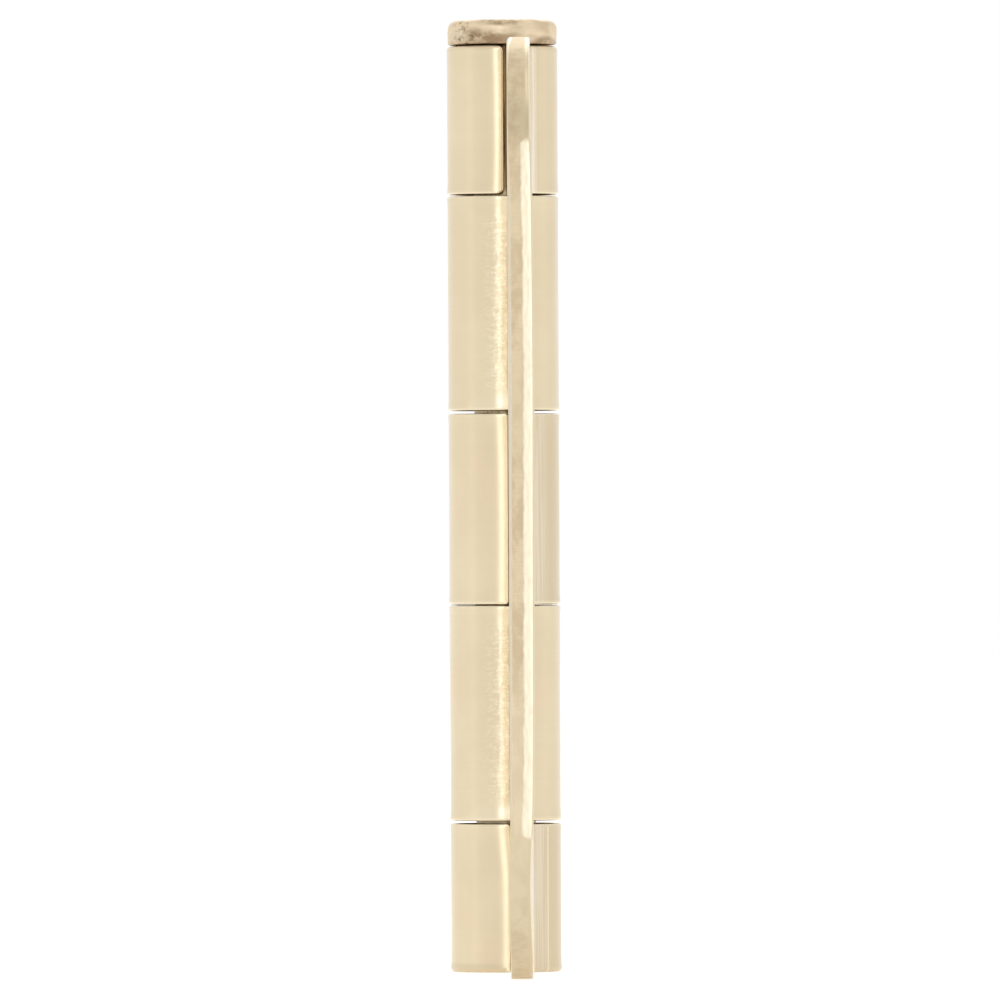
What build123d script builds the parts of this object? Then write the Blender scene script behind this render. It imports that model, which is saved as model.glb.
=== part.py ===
from build123d import *
import os
from math import sqrt

# A door hinge with radius corners: two plates curled into five knuckles round one headed pin.
# The pin stands along +Z, and the origin is on its axis at the lower end of the barrel.
# The hinge is opened flat: the jamb leaf lies towards +X and the door leaf towards -X.
# Both leaves turn their countersinks to -Y and lie against the wood with their +Y faces.

# Leaves
leaf_height = 101.6
leaf_reach = 50.8
corner_radius = 15.875
plate = 2.5
closed_gap = 0.96
edge_break = 0.2
notch_clearance = 0.85
notch_round = 0.5
door_leaf_lift = 0.05

# Barrel, its knuckles counted from the bottom
barrel_radius = 6.05
curled_wall = 2.7
end_knuckle = 16.2
door_knuckle = 23.4
knuckle_gap = 0.42
jamb_seams = (0.08, 0.17, 0.43)
jamb_swages = (4.8, 4.7, 3.7)
door_seams = (0.23, 0.23)
door_swages = (4.2, 4.2)
swage_round = 1.0
jamb_tip_rounds = (0.3, 0.3, 0.6)
door_tip_rounds = (0.3, 0.3)

# Screw holes, for flat heads of 82 degrees
hole_radius = 2.7
sink_radius = 4.6
sink_angle = 82
outer_hole_spacing = 76.2
inner_hole_spacing = 25.4
near_hole_x = 20.6
far_hole_x = 38.1

# Pin
running_gap = 0.08
head_radius = 6.14
head_height = 2.8
head_bulge = 0.24
head_top_round = 1.05
head_foot_round = 0.4
head_seat_gap = 0.1
foot_recess = 1.0
foot_bevel = 0.7

# Worked out from the above
front = closed_gap / 2
back = front + plate
bore_radius = barrel_radius - curled_wall
notch_x = barrel_radius + notch_clearance
root_x = notch_x + plate
wall_middle = (bore_radius + barrel_radius) / 2
corner = (Align.MIN, Align.MIN)


def knuckle_spans():
    """Lower and upper end of each knuckle, from the bottom of the barrel up."""
    middle_knuckle = leaf_height - 2 * end_knuckle - 2 * door_knuckle - 4 * knuckle_gap
    spans = []
    low = 0
    for length in (end_knuckle, door_knuckle, middle_knuckle, door_knuckle, end_knuckle):
        spans.append((low, low + length))
        low += length + knuckle_gap
    return spans


def curl_section(seam, swage):
    """Section across a knuckle: the plate runs in, curls round the bore and stops at the seam.

    The swage is the flat pressed against the root. It leaves the barrel at that height over
    the pin's axis and runs down to the leaf's back."""
    tip = front - seam
    tip_bore = (sqrt(bore_radius**2 - tip**2), tip)
    tip_edge = (sqrt(barrel_radius**2 - tip**2), tip)
    bore_start = (sqrt(bore_radius**2 - front**2), front)
    swage_top = (sqrt(barrel_radius**2 - swage**2), swage)
    swage_foot = ((barrel_radius**2 - back * swage) / swage_top[0], back)
    outline = [
        Line((root_x, front), bore_start),
        ThreePointArc(bore_start, (-bore_radius, 0), tip_bore),
        Line(tip_bore, tip_edge),
        ThreePointArc(tip_edge, (-barrel_radius, 0), swage_top),
        Polyline(swage_top, swage_foot, (root_x, back), (root_x, front)),
    ]
    section = make_face(outline)
    return fillet(section.vertices().sort_by_distance((*swage_foot, 0))[:1], swage_round)


def plate_blank(spans):
    """Flat plate with radius corners, its fingers reaching into the walls of its own knuckles."""
    blank = Pos(wall_middle, 0) * Rectangle(leaf_reach - wall_middle, leaf_height, align=corner)
    blank = fillet(blank.vertices().sort_by(Axis.X)[-2:], corner_radius)
    ends = [0, *(end for span in spans for end in span), leaf_height]
    for low, high in zip(ends[::2], ends[1::2]):
        if high > low:
            blank -= Pos(wall_middle, low) * Rectangle(notch_x - wall_middle, high - low, align=corner)
    at_notch = blank.vertices().filter_by_position(Axis.X, notch_x - 0.01, notch_x + 0.01)
    blank = fillet(at_notch, notch_round)
    return extrude(Plane.XZ.offset(-front) * blank, plate, dir=(0, 1, 0))


def knuckle(span, seam, swage, tip_round):
    """One knuckle with its root, the corners at the tip of the curl rounded off."""
    low, high = span
    body = extrude(Pos(0, 0, low) * curl_section(seam, swage), high - low)
    tip = front - seam
    at_tip = body.edges().filter_by(Axis.X).filter_by_position(Axis.Y, tip - 0.01, tip + 0.01)
    return fillet(at_tip, tip_round)


def screw_holes():
    """Cutters of the four countersunk holes, two near the barrel and two near the outer edge."""
    face = Plane.XZ.offset(-front)
    middle = leaf_height / 2
    cutters = []
    for x, spacing in ((near_hole_x, outer_hole_spacing), (far_hole_x, inner_hole_spacing)):
        for side in (-1, 1):
            cutter = CounterSinkHole(hole_radius, sink_radius, 2 * plate, sink_angle)
            cutters.append(face * Pos(x, middle + side * spacing / 2) * cutter)
    return cutters


def leaf(spans, seams, swages, tip_rounds):
    """A whole leaf, reaching towards +X: plate, curled knuckles and screw holes in one piece."""
    body = plate_blank(spans)
    for measures in zip(spans, seams, swages, tip_rounds):
        body += knuckle(*measures)
    outer_edges = body.edges().filter_by(GeomType.LINE).filter_by(Axis.Z).sort_by(Axis.X)[-2:]
    body = chamfer(outer_edges, edge_break)
    return body - screw_holes()


def hinge_pin():
    """Loose pin turned in one piece: button head, plain shaft and a bevelled foot."""
    shaft_radius = bore_radius - running_gap
    seat = leaf_height + head_seat_gap
    top = seat + head_height
    rim = head_radius - head_bulge
    outline = [
        Polyline(
            (0, top),
            (0, foot_recess),
            (shaft_radius - foot_bevel, foot_recess),
            (shaft_radius, foot_recess + 2 * foot_bevel),
            (shaft_radius, seat),
            (rim, seat),
        ),
        ThreePointArc((rim, seat), (head_radius, seat + head_height / 2), (rim, top)),
        Line((rim, top), (0, top)),
    ]
    profile = make_face(outline)
    profile = fillet(profile.vertices().sort_by_distance((rim, top, 0))[:1], head_top_round)
    profile = fillet(profile.vertices().sort_by_distance((rim, seat, 0))[:1], head_foot_round)
    return revolve(Plane.XZ * profile, Axis.Z)


all_spans = knuckle_spans()
door_leaf = mirror(leaf(all_spans[1::2], door_seams, door_swages, door_tip_rounds), about=Plane.YZ)
parts = {
    "jamb_leaf": leaf(all_spans[::2], jamb_seams, jamb_swages, jamb_tip_rounds),
    "door_leaf": Pos(0, 0, door_leaf_lift) * door_leaf,
    "hinge_pin": hinge_pin(),
}

os.makedirs("parts", exist_ok=True)
for name, shape in parts.items():
    export_step(shape, f"parts/{name}.step")
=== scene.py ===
"""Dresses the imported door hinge: two leaves curled into knuckles, and the headed pin that joins them."""

import logging
import math
from dataclasses import dataclass, field
from enum import Enum

import bmesh
import bpy
import numpy as np
from mathutils import Matrix, Vector, noise
from mathutils.geometry import delaunay_2d_cdt


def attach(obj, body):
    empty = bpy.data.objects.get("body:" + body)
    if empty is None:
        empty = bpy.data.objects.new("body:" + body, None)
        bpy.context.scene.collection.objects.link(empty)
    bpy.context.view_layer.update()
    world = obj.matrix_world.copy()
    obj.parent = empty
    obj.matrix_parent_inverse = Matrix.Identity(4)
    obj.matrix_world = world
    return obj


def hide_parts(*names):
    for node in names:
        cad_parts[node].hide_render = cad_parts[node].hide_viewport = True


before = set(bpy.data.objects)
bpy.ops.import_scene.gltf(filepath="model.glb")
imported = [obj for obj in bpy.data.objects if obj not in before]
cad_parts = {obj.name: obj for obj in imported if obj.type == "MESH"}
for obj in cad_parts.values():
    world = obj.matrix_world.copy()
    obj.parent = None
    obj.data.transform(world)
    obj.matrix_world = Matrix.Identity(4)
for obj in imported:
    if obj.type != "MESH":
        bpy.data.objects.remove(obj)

LOG = logging.getLogger("door_hinge")
MM = 0.001
BRUSHING = "Brushing"
Socket = bpy.types.NodeSocket
Number = float | Socket
Colour = tuple[float, float, float]
Place = tuple[float, float, float]
Oval = tuple[Place, Place]

# In metres: the guide circle that the lathe turns profiles on, and how near two points lie to be welded
LATHE_RADIUS = 0.001
WELD = 2e-6


# Laying out node trees


class Board:
    """Lays nodes into one tree and wires them up as they come."""

    def __init__(self, tree: bpy.types.NodeTree) -> None:
        """Takes the tree that the nodes go into."""
        self.tree = tree

    def add(self, kind: str, inputs: dict | None = None, **settings: object) -> bpy.types.Node:
        """Adds one node.

        Args:
            kind: Blender's name for the sort of node.
            inputs: a value or another node's output for each input named or numbered.
            settings: the node's own properties.

        Returns:
            The new node.
        """
        node = self.tree.nodes.new(kind)
        for key, value in settings.items():
            setattr(node, key, value)
        for key, value in (inputs or {}).items():
            if isinstance(value, Socket):
                self.tree.links.new(value, node.inputs[key])
            else:
                node.inputs[key].default_value = value
        return node

    def math(self, operation: str, *values: Number) -> Socket:
        """One step of arithmetic on numbers and outputs."""
        return self.add("ShaderNodeMath", dict(enumerate(values)), operation=operation).outputs[0]

    def times(self, one: Number, other: Number) -> Socket:
        """The product of two numbers."""
        return self.math("MULTIPLY", one, other)

    def plus(self, one: Number, other: Number) -> Socket:
        """The sum of two numbers."""
        return self.math("ADD", one, other)

    def minus(self, one: Number, other: Number) -> Socket:
        """The first number less the second."""
        return self.math("SUBTRACT", one, other)

    def most(self, one: Number, other: Number) -> Socket:
        """The larger of two numbers."""
        return self.math("MAXIMUM", one, other)

    def fade(self, value: Socket, start: Number, end: Number, low: float = 0, high: float = 1) -> Socket:
        """A smooth step from low to high while the value goes from start to end."""
        inputs = {0: value, 1: start, 2: end, 3: low, 4: high}
        return self.add("ShaderNodeMapRange", inputs, interpolation_type="SMOOTHSTEP").outputs[0]

    def apart(self, vector: Socket) -> bpy.types.Node:
        """Takes a vector apart into X, Y and Z."""
        return self.add("ShaderNodeSeparateXYZ", {0: vector})

    def stretch(self, vector: Socket, scale: Place) -> Socket:
        """A pattern's coordinates, scaled along each axis."""
        return self.add("ShaderNodeMapping", {"Vector": vector, "Scale": scale}).outputs[0]

    def noise(self, vector: Socket, scale: float, detail: float = 2, roughness: float = 0.5) -> Socket:
        """Cloudy noise between 0 and 1."""
        inputs = {"Vector": vector, "Scale": scale, "Detail": detail, "Roughness": roughness}
        return self.add("ShaderNodeTexNoise", inputs).outputs[0]

    def tint(self, factor: Number, low: Colour | Socket, high: Colour | Socket) -> Socket:
        """A colour between two colours."""
        ends = [end if isinstance(end, Socket) else (*end, 1) for end in (low, high)]
        return self.add("ShaderNodeMix", {0: factor, 6: ends[0], 7: ends[1]}, data_type="RGBA").outputs[2]

    def spot(self, place: Socket, centre: Place, size: Place) -> Socket:
        """A soft oval patch, 1 in its middle; centre and half size are in millimetres."""
        inputs = {"Vector": place, "Location": [-middle / half for middle, half in zip(centre, size)]}
        inputs["Scale"] = [1 / (half * MM) for half in size]
        reach = self.add("ShaderNodeMapping", inputs).outputs[0]
        distance = self.add("ShaderNodeVectorMath", {0: reach}, operation="LENGTH").outputs["Value"]
        return self.fade(distance, 1.0, 0.35)

    def spots(self, place: Socket, ovals: tuple[Oval, ...]) -> Socket:
        """Several soft oval patches, each given by its centre and half size in millimetres."""
        whole = self.spot(place, *ovals[0])
        for oval in ovals[1:]:
            whole = self.most(whole, self.spot(place, *oval))
        return whole

    def attribute(self, name: str) -> Socket:
        """A number that the mesh carries, read by a material."""
        return self.add("ShaderNodeAttribute", attribute_name=name).outputs["Fac"]

    def bump(self, height: Socket, depth: float, normal: Socket | None = None) -> Socket:
        """A normal turned by a height pattern whose full step is `depth` metres."""
        inputs = {"Height": height, "Distance": depth, "Strength": 1.0}
        if normal is not None:
            inputs["Normal"] = normal
        return self.add("ShaderNodeBump", inputs).outputs[0]


# Finishes


@dataclass(frozen=True)
class Finish:
    """A metal surface: its colour, how rough it is, and a pattern that each kind adds."""

    name: str
    colour: Colour
    roughness: float

    def material(self) -> bpy.types.Material:
        """Builds the material of this finish."""
        made = bpy.data.materials.new(self.name)
        made.use_nodes = True
        made.node_tree.nodes.clear()
        board = Board(made.node_tree)
        shader = board.add("ShaderNodeBsdfPrincipled", {"Metallic": 1.0, "Base Color": (*self.colour, 1)})
        shader.inputs["Roughness"].default_value = self.roughness
        self.dress(board, shader)
        board.add("ShaderNodeOutputMaterial", {"Surface": shader.outputs[0]})
        made.diffuse_color = (*self.colour, 1)
        return made

    def dress(self, board: Board, shader: bpy.types.Node) -> None:
        """Adds the pattern to the shader; a plain finish has none."""

    @staticmethod
    def wire(board: Board, shader: bpy.types.Node, **outputs: Socket) -> None:
        """Wires outputs to the shader's inputs, an underscore standing for a space in a name."""
        for name, output in outputs.items():
            board.tree.links.new(output, shader.inputs[name.replace("_", " ")])


@dataclass(frozen=True)
class SatinBrass(Finish):
    """Brass brushed across the barrel before the plate was curled, with cloudy tones and painted highlights
    on its edges.

    The two brushes and the press lines scale the brushing's own map, the pitches the object's metres.
    """

    # bright: the tone of the painted highlights on edges, press lines, rub specks and the knuckle glint
    bright: Colour = (0.93, 0.83, 0.63)
    rosy: Colour = (0.83, 0.66, 0.47)
    dull: Colour = (0.74, 0.62, 0.42)
    root: Colour = (0.70, 0.585, 0.40)
    pressed: Colour = (0.90, 0.82, 0.72)
    fine_brush: Place = (1100, 16, 1)
    broad_brush: Place = (260, 6, 1)
    press_lines: Place = (5, 420, 1)
    speck_pitch: float = 2600
    patch_pitch: float = 420
    cloud_pitch: float = 130
    blush_pitch: float = 210
    rub_depth: float = 0.00004
    brush_depth: float = 0.000006
    anisotropy: float = 0.85

    def dress(self, board: Board, shader: bpy.types.Node) -> None:
        """Brushing along the blank, soft clouds, a rub where the leaves meet, and painted highlights on the
        edges, in the rub and low on the far knuckles.
        """
        uv = board.add("ShaderNodeUVMap", uv_map=BRUSHING).outputs[0]
        place = board.add("ShaderNodeTexCoord").outputs["Object"]
        fine = board.noise(board.stretch(uv, self.fine_brush), 1.0, 3, 0.65)
        broad = board.noise(board.stretch(uv, self.broad_brush), 1.0, 2)
        streaks = board.plus(board.times(fine, 0.6), board.times(broad, 0.4))
        edge, rub = board.attribute("edge"), board.attribute("rub")
        specks = board.noise(board.stretch(place, (0.55, 0.55, 1.4)), self.speck_pitch, 3, 0.7)
        patches = board.noise(board.stretch(place, (1, 1, 0.5)), self.patch_pitch, 2, 0.6)
        tone = self.at_root(board, uv, self.clouds(board, place))
        tone = board.tint(board.fade(streaks, 0.42, 0.64, 0, 0.16), tone, self.dull)
        # painted highlight on the rounded edges and the press lines' crests
        tone = board.tint(board.times(edge, 0.8), tone, self.bright)
        # the rub's bright specks are partly wear, partly painted highlight; the glint is painted highlight
        wear_and_glint = board.times(rub, board.fade(specks, 0.45, 0.62, 0, 0.75))
        wear_and_glint = board.most(wear_and_glint, board.attribute("painted_glint"))
        tone = board.tint(wear_and_glint, tone, self.bright)
        rough = board.plus(board.times(streaks, 0.12), self.roughness - 0.06)
        rough = board.minus(rough, board.times(edge, 0.08))
        rubbed = board.times(rub, board.plus(specks, board.times(patches, 2.5)))
        normal = board.bump(rubbed, self.rub_depth)
        normal = board.bump(streaks, self.brush_depth, normal)
        tangent = board.add("ShaderNodeTangent", direction_type="UV_MAP", uv_map=BRUSHING).outputs[0]
        shader.inputs["Anisotropic"].default_value = self.anisotropy
        self.wire(board, shader, Base_Color=tone, Roughness=rough, Normal=normal, Tangent=tangent)

    def clouds(self, board: Board, place: Socket) -> Socket:
        """The base colour with soft clouds of a duller and a rosier tone."""
        cloud = board.noise(place, self.cloud_pitch, 3, 0.55)
        blush = board.noise(board.stretch(place, (1, 1, 0.5)), self.blush_pitch, 3, 0.6)
        blush = board.fade(blush, 0.52, 0.72)
        tone = board.tint(board.fade(cloud, 0.38, 0.66, 0.42, 0), self.colour, self.dull)
        return board.tint(board.times(blush, 0.5), tone, self.rosy)

    def at_root(self, board: Board, uv: Socket, tone: Socket) -> Socket:
        """Dulls the tone towards a knuckle's root, and greys the lines that the swage pressed there."""
        tone = board.tint(board.attribute("root"), tone, self.root)
        lines = board.fade(board.noise(board.stretch(uv, self.press_lines), 1.0, 2), 0.42, 0.60)
        return board.tint(board.times(board.attribute("pressed"), lines), tone, self.pressed)


@dataclass(frozen=True)
class PunchedEdge(Finish):
    """The plate's cut edge: a dull sheared band, a brighter torn band behind it, and trimmed corners
    darkened with painted shade.
    """

    torn: Colour = (0.95, 0.86, 0.66)
    dark: Colour = (0.52, 0.40, 0.25)
    # trimmed: darker corner tone, painted shade where the edge turns up and down, also used for random
    # patches
    trimmed: Colour = (0.675, 0.565, 0.38)
    shear_lines: Place = (700, 60, 1)
    grain_pitch: float = 2200
    cloud_pitch: float = 620
    patch_pitch: float = 170
    relief: float = 0.000012
    paler_below: tuple[float, float] = (0.037, 0.028)

    def dress(self, board: Board, shader: bpy.types.Node) -> None:
        """Fine lines across the sheared band, grain in the torn one, and clouds on both."""
        uv = board.add("ShaderNodeUVMap", uv_map=BRUSHING).outputs[0]
        place = board.add("ShaderNodeTexCoord").outputs["Object"]
        shear, trim = board.attribute("shear"), board.attribute("trim")
        lines = board.noise(board.stretch(uv, self.shear_lines), 1.0, 3, 0.6)
        grain = board.noise(board.stretch(place, (1.2, 1.2, 0.3)), self.grain_pitch, 3, 0.6)
        cloud = board.noise(board.stretch(place, (1, 1, 0.6)), self.cloud_pitch, 3, 0.6)
        # painted shade: the leaf's rounded corners take the darker trimmed tone
        tone = board.tint(trim, self.colour, self.trimmed)
        tone = board.tint(board.fade(lines, 0.40, 0.70, 0, 0.20), tone, self.dark)
        tone = board.tint(board.fade(cloud, 0.38, 0.62, 0.52, 0), tone, self.dark)
        broad = board.noise(board.stretch(place, (1, 1, 0.4)), self.patch_pitch, 2)
        tone = board.tint(board.fade(broad, 0.45, 0.65, 0, 0.45), tone, self.trimmed)
        low = board.fade(board.apart(place).outputs["Z"], *self.paler_below, 0, 0.2)
        tone = board.tint(low, tone, self.torn)
        pale = board.tint(board.fade(grain, 0.34, 0.60, 0.22, 0), self.torn, self.colour)
        # the torn band at the corners takes the darker tone too, as painted shade
        tone = board.tint(shear, tone, board.tint(trim, pale, self.trimmed))
        height = board.tint(shear, lines, grain)
        normal = board.bump(height, self.relief)
        rough = board.minus(self.roughness, board.times(shear, 0.2))
        self.wire(board, shader, Base_Color=tone, Roughness=rough, Normal=normal)


@dataclass(frozen=True)
class ShadedBore(Finish):
    """The inside of the curl, never brushed or polished, whose dark brown is also painted shade in the
    narrow bore.
    """

    soot: Colour = (0.20, 0.12, 0.05)

    def dress(self, board: Board, shader: bpy.types.Node) -> None:
        """Blotches of dark oil on the bore's dark metal."""
        place = board.add("ShaderNodeTexCoord").outputs["Object"]
        blotch = board.noise(place, 500, 4, 0.6)
        tone = board.tint(board.fade(blotch, 0.35, 0.65), self.colour, self.soot)
        self.wire(board, shader, Base_Color=tone, Normal=board.bump(blotch, 0.00002))


@dataclass(frozen=True)
class TurnedMetal(Finish):
    """Metal cut on a lathe, with fine rings along the `turning` coordinate, and oil where it has any."""

    groove: Colour = (0.55, 0.44, 0.28)
    oil: Colour | None = None
    pitch: float = 9000.0
    cloud_pitch: float = 300
    speck_pitch: float = 2600
    browner_above: tuple[float, float] = (0.0853, 0.0862)

    def dress(self, board: Board, shader: bpy.types.Node) -> None:
        """Rings of the cutting tool, a few dull clouds, specks of oil, and a browner tone from 86 mm up to
        the head.
        """
        place = board.add("ShaderNodeTexCoord").outputs["Object"]
        along = {"W": board.times(board.attribute("turning"), self.pitch), "Scale": 1.0, "Detail": 2.0}
        rings = board.add("ShaderNodeTexNoise", along, noise_dimensions="1D").outputs[0]
        cloud = board.noise(place, self.cloud_pitch, 3, 0.6)
        tone = board.tint(board.fade(rings, 0.40, 0.70, 0, 0.5), self.colour, self.groove)
        tone = board.tint(board.fade(cloud, 0.35, 0.65, 0.35, 0), tone, self.groove)
        if self.oil:
            specks = board.noise(board.stretch(place, (1, 1, 0.7)), self.speck_pitch, 2, 0.6)
            tone = board.tint(board.fade(specks, 0.52, 0.66, 0, 0.5), tone, self.oil)
            # browner over the shaft from 86 mm up, inside the top knuckle
            below_head = board.fade(board.apart(place).outputs["Z"], *self.browner_above, 0, 0.9)
            tone = board.tint(below_head, tone, self.oil)
        rough = board.plus(board.times(cloud, 0.2), self.roughness - 0.1)
        self.wire(board, shader, Base_Color=tone, Roughness=rough, Normal=board.bump(rings, 0.000004))


@dataclass(frozen=True)
class TarnishedHead(Finish):
    """The pin's head: handled, brown with tarnish, with dark specks in its pits.

    Each oval patch is given by its centre and its half size, in millimetres.
    """

    brown: Colour = (0.36, 0.25, 0.15)
    pit: Colour = (0.16, 0.11, 0.07)
    bright: Colour = (0.84, 0.72, 0.53)
    stained: tuple[Oval, ...] = (((5, -2.4, 102.3), (7, 5.0, 1.6)), ((5, -0.2, 104.3), (6, 3.4, 0.8)))
    stained_foot: tuple[Oval, ...] = (((5, -2.3, 101.9), (6, 3.2, 0.75)), ((4, 4.9, 101.95), (4, 2.0, 0.9)))
    rubbed: tuple[Oval, ...] = (((6, 0.3, 103.3), (4, 2.0, 0.7)), ((4, -4.8, 102.9), (4, 1.6, 0.9)))
    pitted: tuple[Oval, ...] = (((4, -4.7, 103.7), (4, 1.8, 0.9)), ((4, -3.2, 102.2), (5, 4.2, 1.3)))
    cloud_pitch: float = 330
    rub_pitch: float = 520
    speck_pitch: float = 1900
    relief: float = 0.00006

    def dress(self, board: Board, shader: bpy.types.Node) -> None:
        """Clouds of tarnish, brown and rubbed patches, and pits in a few places."""
        place = board.add("ShaderNodeTexCoord").outputs["Object"]
        flat = board.stretch(place, (1, 1, 2.2))
        cloud = board.noise(flat, self.cloud_pitch, 4, 0.62)
        specks = board.noise(board.stretch(place, (1, 0.6, 1.3)), self.speck_pitch, 4, 0.7)
        height = board.apart(place).outputs["Z"]
        # browner in the stained ovals and towards the head's foot, below 102.4 mm
        browned = board.most(board.spots(place, self.stained), board.fade(height, 0.1024, 0.1018, 0, 0.6))
        browned = board.times(browned, board.fade(cloud, 0.36, 0.54, 0.35, 1.0))
        tone = board.tint(board.fade(cloud, 0.48, 0.72, 0, 0.30), self.colour, self.brown)
        tone = board.tint(browned, tone, self.brown)
        foot = board.times(board.spots(place, self.stained_foot), board.fade(cloud, 0.34, 0.54, 0.4, 0.85))
        tone = board.tint(foot, tone, self.brown)
        rub = board.spots(place, self.rubbed)
        rub = board.times(rub, board.fade(board.noise(flat, self.rub_pitch, 3, 0.55), 0.36, 0.62, 0.2, 0.8))
        tone = board.tint(rub, tone, self.bright)
        pits = board.times(board.spots(place, self.pitted), board.fade(specks, 0.50, 0.68, 0, 0.75))
        tone = board.tint(pits, tone, self.pit)
        rough = board.plus(board.times(cloud, 0.25), self.roughness - 0.1)
        relief = board.minus(board.plus(cloud, board.times(specks, 0.35)), pits)
        self.wire(board, shader, Base_Color=tone, Roughness=rough, Normal=board.bump(relief, self.relief))


# Shapes made with Geometry Nodes


class ShapeTree:
    """A Geometry Nodes tree with named inputs, run once on a carrier object."""

    kinds: dict[str, str] = {}

    def __init__(self) -> None:
        """Builds the tree with its named inputs."""
        self.tree = bpy.data.node_groups.new(type(self).__name__, "GeometryNodeTree")
        self.tree.interface.new_socket("Geometry", in_out="INPUT", socket_type="NodeSocketGeometry")
        self.tree.interface.new_socket("Geometry", in_out="OUTPUT", socket_type="NodeSocketGeometry")
        self.keys = {}
        for name, kind in self.kinds.items():
            item = self.tree.interface.new_socket(name, in_out="INPUT", socket_type=f"NodeSocket{kind}")
            self.keys[name] = item.identifier
        self.board = Board(self.tree)
        self.given = self.board.add("NodeGroupInput").outputs
        self.board.add("NodeGroupOutput", {0: self.lay()})

    def lay(self) -> Socket:
        """Lays the nodes and returns the finished geometry."""
        raise NotImplementedError

    def read(self, name: str, kind: str = "FLOAT") -> Socket:
        """An attribute of the geometry that the tree works on."""
        return self.board.add("GeometryNodeInputNamedAttribute", {"Name": name}, data_type=kind).outputs[0]

    def lathe(self, profile: Socket, steps: Socket) -> Socket:
        """Turns a profile curve round the Z axis and closes its seam and poles."""
        board = self.board
        length = board.add("GeometryNodeSplineParameter").outputs["Length"]
        marked = self.store(profile, "turning", length, "FLOAT", "POINT")
        inputs = {"Resolution": steps, "Radius": LATHE_RADIUS}
        circle = board.add("GeometryNodeCurvePrimitiveCircle", inputs).outputs[0]
        swept = board.add("GeometryNodeCurveToMesh", {"Curve": circle, "Profile Curve": marked}).outputs[0]
        return self.weld(swept)

    def store(self, geometry: Socket, name: str, value: int | Socket, kind: str, domain: str) -> Socket:
        """Writes an attribute on the geometry's points or faces."""
        inputs = {"Geometry": geometry, "Name": name, "Value": value}
        node = self.board.add("GeometryNodeStoreNamedAttribute", inputs, data_type=kind, domain=domain)
        return node.outputs[0]

    def weld(self, geometry: Socket) -> Socket:
        """Joins points that lie on each other."""
        inputs = {"Geometry": geometry, "Distance": WELD}
        return self.board.add("GeometryNodeMergeByDistance", inputs).outputs[0]

    def brought(self, name: str) -> Socket:
        """The geometry of an object that is given to the tree."""
        return self.board.add("GeometryNodeObjectInfo", {"Object": self.given[name]}).outputs["Geometry"]

    def coat(self, geometry: Socket, material: Socket, selection: Socket | bool = True) -> Socket:
        """Gives the selected faces a material."""
        inputs = {"Geometry": geometry, "Selection": selection, "Material": material}
        return self.board.add("GeometryNodeSetMaterial", inputs).outputs[0]

    def run(self, carrier: bpy.types.Object, **values: object) -> bpy.types.Mesh:
        """Runs the tree on an object and removes that object.

        Args:
            carrier: the curve or mesh object that the tree starts from.
            values: a value for each named input, an underscore standing for a space.

        Returns:
            The result as a plain mesh.
        """
        modifier = carrier.modifiers.new(self.tree.name, "NODES")
        modifier.node_group = self.tree
        for name, value in values.items():
            modifier[self.keys[name.replace("_", " ")]] = value
        bpy.context.view_layer.update()
        mesh = evaluated(carrier)
        carrier.modifiers.remove(modifier)
        bpy.data.objects.remove(carrier)
        if mesh.materials[0] is None:  # the carrier's own slot, which has no finish
            mesh.materials.pop(index=0)
        return mesh


class CurlTree(ShapeTree):
    """Curls the fingers of a flat blank round the pin and sets the countersunk seats into its holes."""

    kinds = {
        "Inner Paths": "Object",
        "Outer Paths": "Object",
        "Hole Centres": "Object",
        "Seat Profile": "Object",
        "Seat Steps": "Int",
        "Satin": "Material",
        "Punched": "Material",
        "Bore": "Material",
        "Seat": "Material",
    }

    def lay(self) -> Socket:
        """Moves each finger on to its two paths, adds the seats, welds all and sets the finishes."""
        board, given = self.board, self.given
        curl = self.read("curl", "INT")
        place = board.add("GeometryNodeInputPosition").outputs[0]
        inner = self.follow("Inner Paths", "inner_way", curl)
        outer = self.follow("Outer Paths", "outer_way", curl)
        blend = {0: self.read("depth"), 4: inner, 5: outer}
        blended = board.add("ShaderNodeMix", blend, data_type="VECTOR", clamp_factor=False).outputs[1]
        across = board.apart(blended).outputs
        height = board.apart(place).outputs["Z"]
        target = board.add("ShaderNodeCombineXYZ", {0: across[0], 1: across[1], 2: height}).outputs[0]
        on_finger = self.equal(curl, 0, "GREATER_THAN")
        curled = {"Geometry": given["Geometry"], "Selection": on_finger, "Position": target}
        body = board.add("GeometryNodeSetPosition", curled).outputs[0]
        join = board.add("GeometryNodeJoinGeometry", {0: self.seats()})
        board.tree.links.new(body, join.inputs[0])
        whole = board.add("GeometryNodeRealizeInstances", {"Geometry": join.outputs[0]}).outputs[0]
        whole = board.add("GeometryNodeSetShadeSmooth", {"Geometry": self.weld(whole)}).outputs[0]
        zone = self.read("zone", "INT")
        for kind in Zone:
            whole = self.coat(whole, given[kind.name.title()], self.equal(zone, kind.value))
        return whole

    def equal(self, value: Socket, other: int, operation: str = "EQUAL") -> Socket:
        """Compares a whole number with a fixed one."""
        settings = {"data_type": "INT", "operation": operation}
        return self.board.add("FunctionNodeCompare", {2: value, 3: other}, **settings).outputs[0]

    def follow(self, paths: str, way: str, curl: Socket) -> Socket:
        """The place on a finger's own path that lies the given share of the way along it."""
        board = self.board
        curves, number = self.brought(paths), board.minus(curl, 1)
        inputs = {"Curves": curves, "Factor": self.read(way), "Curve Index": number}
        found = board.add("GeometryNodeSampleCurve", inputs, mode="FACTOR", use_all_curves=False)
        return found.outputs["Position"]

    def seats(self) -> Socket:
        """One countersunk seat on every hole centre, its axis turned from Z to Y."""
        profile, centres = self.brought("Seat Profile"), self.brought("Hole Centres")
        seat = self.lathe(profile, self.given["Seat Steps"])
        seat = self.store(seat, "zone", Zone.SEAT.value, "INT", "FACE")
        inputs = {"Points": centres, "Instance": seat, "Rotation": (-math.pi / 2, 0, 0)}
        return self.board.add("GeometryNodeInstanceOnPoints", inputs).outputs[0]


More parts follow.
